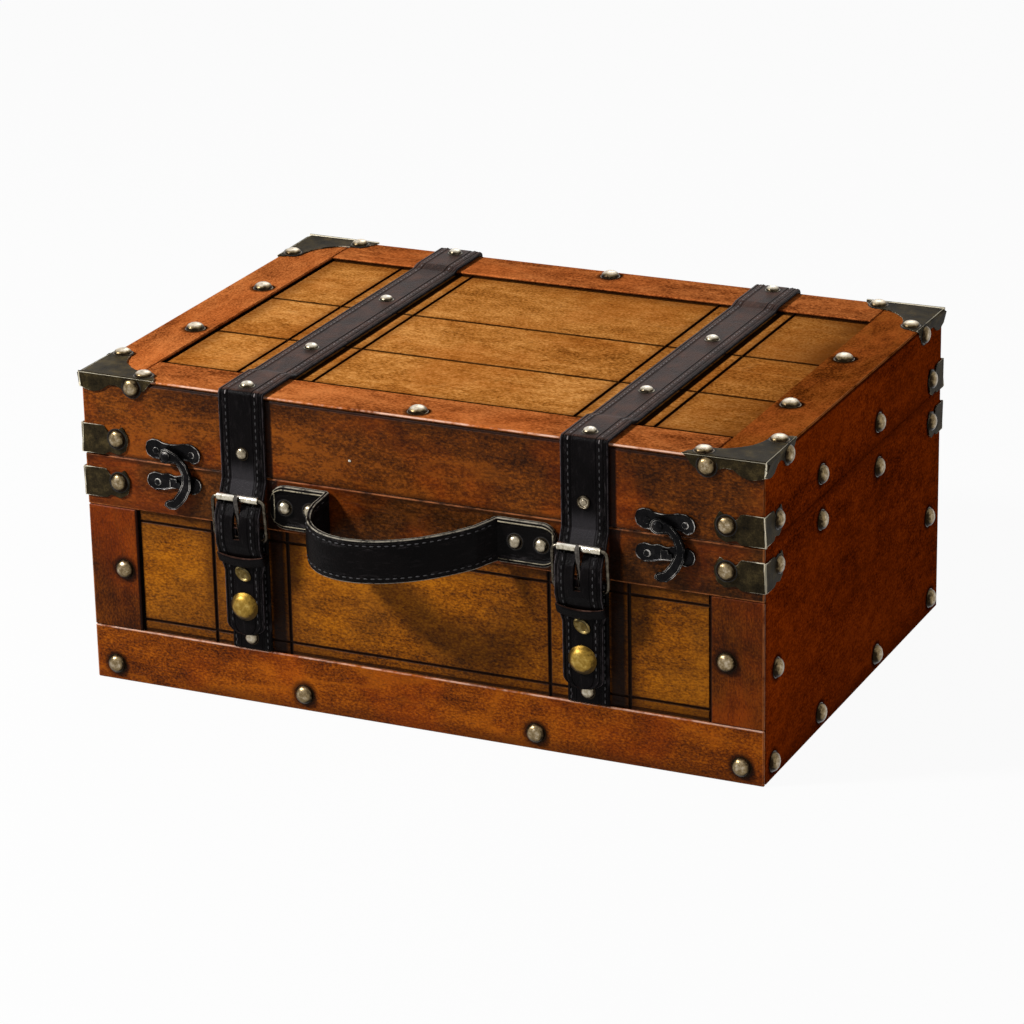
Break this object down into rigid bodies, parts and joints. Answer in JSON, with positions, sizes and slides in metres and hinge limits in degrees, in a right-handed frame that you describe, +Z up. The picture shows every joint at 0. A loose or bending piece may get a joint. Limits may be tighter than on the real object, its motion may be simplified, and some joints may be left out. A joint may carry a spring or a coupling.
{
  "type": "wooden keepsake trunk",
  "caption": "Small wooden trunk with a hinged lid, buckled leather straps over the lid, hook latches, corner metal, dome nails and a carry handle on its front.",
  "frame": {"origin": "middle of the underside, on the surface that the trunk stands on", "axes": "+X along the trunk's width, to the right of someone who faces its front; -Y out of the front, where the handle, latches and buckles are; +Z up"},
  "size_m": [0.3888, 0.3052, 0.1757],
  "materials": {
    "panel_wood": "golden brown stained plywood, satin varnish",
    "frame_wood": "orange brown stained wood, satin varnish",
    "lid_wood": "dark red brown stained wood, satin varnish",
    "side_wood": "dark red stained wood, satin varnish",
    "inner_wood": "plain stained wood, matt",
    "strap_leather": "dark brown leather, pale stitching",
    "handle_leather": "black leather, pale stitching and edges",
    "corner_metal": "antique bronze plate with worn edges",
    "latch_metal": "blackened metal with worn edges",
    "buckle_metal": "polished nickel, lightly worn",
    "brass": "antique brass, mottled",
    "hinge_metal": "antique bronze"
  },
  "bodies": {
    "base": {"base_floor": "inner_wood", "base_front_wall": "panel_wood", "base_back_wall": "side_wood", "base_left_wall": "side_wood", "base_right_wall": "side_wood", "base_front_top_rail": "frame_wood", "base_front_bottom_rail": "frame_wood", "base_front_stile_left": "frame_wood", "base_front_stile_right": "frame_wood", "base_corner_band_front_left": "corner_metal", "base_corner_band_front_right": "corner_metal", "base_corner_band_back_left": "corner_metal", "base_corner_band_back_right": "corner_metal", "base_strap_left": "strap_leather", "base_strap_right": "strap_leather", "latch_catch_left": "latch_metal", "latch_catch_right": "latch_metal", "handle_tab_left": "handle_leather", "handle_tab_right": "handle_leather", "hinge_base_leaf_left": "hinge_metal", "hinge_base_leaf_right": "hinge_metal", "hinge_pin_left": "hinge_metal", "hinge_pin_right": "hinge_metal"},
    "handle": {"carry_handle": "handle_leather"},
    "lid": {"lid_panel": "panel_wood", "lid_front_wall": "lid_wood", "lid_back_wall": "side_wood", "lid_left_wall": "side_wood", "lid_right_wall": "side_wood", "lid_top_rail_left": "frame_wood", "lid_top_rail_right": "frame_wood", "lid_top_rail_front": "frame_wood", "lid_top_rail_back": "frame_wood", "lid_corner_cap_front_left": "corner_metal", "lid_corner_cap_front_right": "corner_metal", "lid_corner_cap_back_left": "corner_metal", "lid_corner_cap_back_right": "corner_metal", "lid_corner_band_front_left": "corner_metal", "lid_corner_band_front_right": "corner_metal", "lid_corner_band_back_left": "corner_metal", "lid_corner_band_back_right": "corner_metal", "lid_strap_left": "strap_leather", "lid_strap_right": "strap_leather", "latch_plate_left": "latch_metal", "latch_plate_right": "latch_metal", "hinge_lid_leaf_left": "hinge_metal", "hinge_lid_leaf_right": "hinge_metal"},
    "strap_end_left": {"strap_end_left": "strap_leather", "buckle_frame_left": "buckle_metal", "snap_cap_left": "brass"},
    "strap_end_right": {"strap_end_right": "strap_leather", "buckle_frame_right": "buckle_metal", "snap_cap_right": "brass"},
    "roller_left": {"buckle_roller_left": "buckle_metal"},
    "roller_right": {"buckle_roller_right": "buckle_metal"},
    "tongue_left": {"buckle_tongue_left": "buckle_metal"},
    "tongue_right": {"buckle_tongue_right": "buckle_metal"},
    "hook_left": {"latch_hook_left": "latch_metal"},
    "hook_right": {"latch_hook_right": "latch_metal"}
  },
  "joints": [
    {"name": "lid_hinge", "type": "hinge", "parent": "base", "child": "lid", "pos_m": [0, 0.1339, 0.12665], "axis": [-1, 0, 0], "range_deg": [0, 105]},
    {"name": "handle_swing", "type": "hinge", "parent": "base", "child": "handle", "pos_m": [0, -0.1342, 0.1127], "axis": [-1, 0, 0], "range_deg": [-20, 20], "stiffness_Nm_per_rad": 0.15},
    {"name": "strap_fold_left", "type": "hinge", "parent": "lid", "child": "strap_end_left", "pos_m": [-0.0955, -0.13195, 0.1275], "axis": [-1, 0, 0], "range_deg": [0, 90]},
    {"name": "strap_fold_right", "type": "hinge", "parent": "lid", "child": "strap_end_right", "pos_m": [0.0955, -0.13195, 0.1275], "axis": [-1, 0, 0], "range_deg": [0, 90]},
    {"name": "roller_spin_left", "type": "hinge", "parent": "strap_end_left", "child": "roller_left", "pos_m": [-0.0955, -0.1397, 0.117], "axis": [1, 0, 0], "continuous": true},
    {"name": "roller_spin_right", "type": "hinge", "parent": "strap_end_right", "child": "roller_right", "pos_m": [0.0955, -0.1397, 0.117], "axis": [1, 0, 0], "continuous": true},
    {"name": "tongue_lift_left", "type": "hinge", "parent": "strap_end_left", "child": "tongue_left", "pos_m": [-0.0955, -0.13805, 0.0945], "axis": [1, 0, 0], "range_deg": [0, 20]},
    {"name": "tongue_lift_right", "type": "hinge", "parent": "strap_end_right", "child": "tongue_right", "pos_m": [0.0955, -0.13805, 0.0945], "axis": [1, 0, 0], "range_deg": [0, 20]},
    {"name": "latch_swing_left", "type": "hinge", "parent": "lid", "child": "hook_left", "pos_m": [-0.1399, -0.1331, 0.1323], "axis": [0, -1, 0], "range_deg": [0, 40]},
    {"name": "latch_swing_right", "type": "hinge", "parent": "lid", "child": "hook_right", "pos_m": [0.1353, -0.1331, 0.1323], "axis": [0, -1, 0], "range_deg": [0, 70]}
  ]
}
